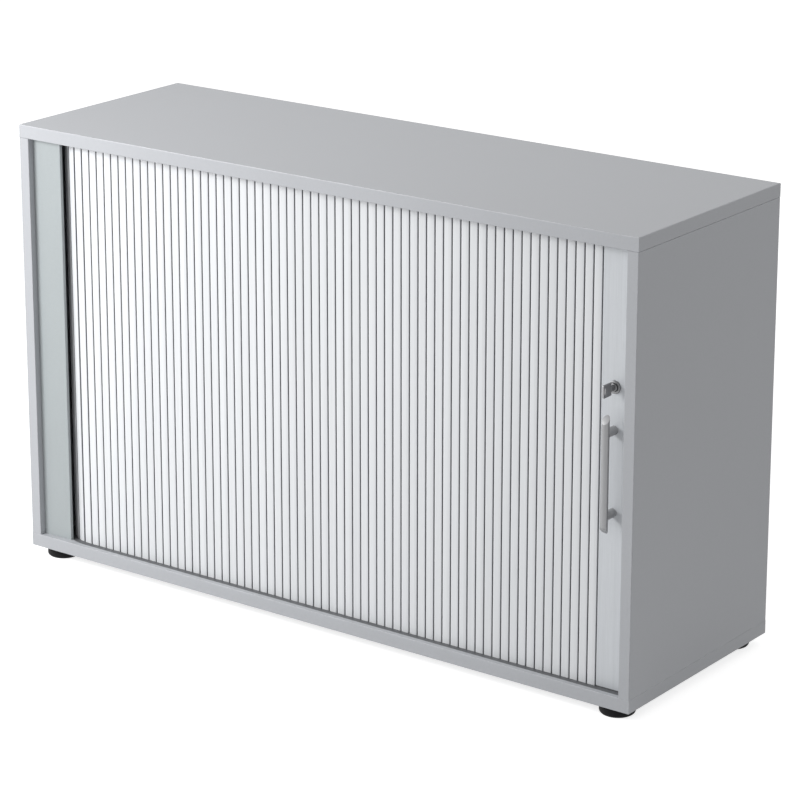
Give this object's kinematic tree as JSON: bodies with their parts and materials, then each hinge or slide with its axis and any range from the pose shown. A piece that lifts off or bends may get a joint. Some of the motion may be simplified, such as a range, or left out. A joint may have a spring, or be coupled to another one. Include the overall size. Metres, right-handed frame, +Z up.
{
  "type": "tambour door cabinet",
  "caption": "Low office cupboard with a sideways tambour door: slatted curtain in U-shaped tracks, lockable leading rail with a bar handle, adjustable shelf and levelling feet.",
  "frame": {"origin": "centre of the bounding box at the floor", "axes": "+X to the right along the width as seen from the front, +Y from the front to the back, +Z up"},
  "size_m": [1.2, 0.4118, 0.75],
  "materials": {
    "board": "silver-grey melamine-faced chipboard",
    "back_board": "silver-grey coated board",
    "strip": "silver-grey coated board",
    "slat": "silver-grey extruded plastic, satin",
    "track": "dark grey plastic",
    "rail": "silver satin",
    "handle": "satin grey",
    "lock": "dull nickel",
    "key": "dark grey",
    "steel": "zinc plated",
    "black_plastic": "black",
    "dowel": "raw beech"
  },
  "bodies": {
    "case": {"top_panel": "board", "bottom_panel": "board", "left_side_panel": "board", "right_side_panel": "board", "inner_side_panel": "board", "shelf": "board", "outer_back_panel": "back_board", "inner_back_panel": "back_board", "cover_strip": "strip", "top_track": "track", "bottom_track": "track", "curtain_tail": "slat", "strike_plate": "steel", "strike_screw_upper": "steel", "strike_screw_lower": "steel", "curtain_section_1": "slat", "curtain_section_2": "slat", "curtain_section_3": "slat", "curtain_section_4": "slat", "curtain_section_5": "slat", "shelf_pin_front_left": "steel", "shelf_pin_front_right": "steel", "shelf_pin_rear_left": "steel", "shelf_pin_rear_right": "steel", "dowel_bottom_front_left": "dowel", "dowel_bottom_front_right": "dowel", "dowel_bottom_rear_left": "dowel", "dowel_bottom_rear_right": "dowel", "dowel_top_front_left": "dowel", "dowel_top_front_right": "dowel", "dowel_top_rear_left": "dowel", "dowel_top_rear_right": "dowel", "foot_insert_front_left": "steel", "foot_insert_front_right": "steel", "foot_insert_rear_left": "steel", "foot_insert_rear_right": "steel"},
    "door": {"leading_rail": "rail", "rail_glide_bottom": "track", "rail_glide_top": "track", "handle_bar": "handle", "handle_post_upper": "handle", "handle_post_lower": "handle", "handle_screw_upper": "steel", "handle_screw_lower": "steel", "lock_barrel": "lock", "lock_nut": "steel"},
    "lock_cylinder": {"lock_plug": "lock", "hook_bolt": "steel", "hook_screw": "steel"},
    "key": {"key": "key"},
    "foot_front_left": {"foot_base_front_left": "black_plastic", "foot_stem_front_left": "steel"},
    "foot_front_right": {"foot_base_front_right": "black_plastic", "foot_stem_front_right": "steel"},
    "foot_rear_left": {"foot_base_rear_left": "black_plastic", "foot_stem_rear_left": "steel"},
    "foot_rear_right": {"foot_base_rear_right": "black_plastic", "foot_stem_rear_right": "steel"}
  },
  "joints": [
    {"name": "door_slide", "type": "slide", "parent": "case", "child": "door", "axis": [-1, 0, 0], "range_m": [0, 1.02], "deforming": ["curtain_section_1", "curtain_section_2", "curtain_section_3", "curtain_section_4", "curtain_section_5"]},
    {"name": "lock_turn", "type": "hinge", "parent": "door", "child": "lock_cylinder", "pos_m": [0.552, -0.1787, 0.5135], "axis": [0, -1, 0], "range_deg": [0, 90]},
    {"name": "key_withdraw", "type": "slide", "parent": "lock_cylinder", "child": "key", "axis": [0, -1, 0], "range_m": [0, 0.025]},
    {"name": "foot_height_front_left", "type": "slide", "parent": "case", "child": "foot_front_left", "axis": [0, 0, -1], "range_m": [0, 0.006]},
    {"name": "foot_height_front_right", "type": "slide", "parent": "case", "child": "foot_front_right", "axis": [0, 0, -1], "range_m": [0, 0.006]},
    {"name": "foot_height_rear_left", "type": "slide", "parent": "case", "child": "foot_rear_left", "axis": [0, 0, -1], "range_m": [0, 0.006]},
    {"name": "foot_height_rear_right", "type": "slide", "parent": "case", "child": "foot_rear_right", "axis": [0, 0, -1], "range_m": [0, 0.006]}
  ]
}
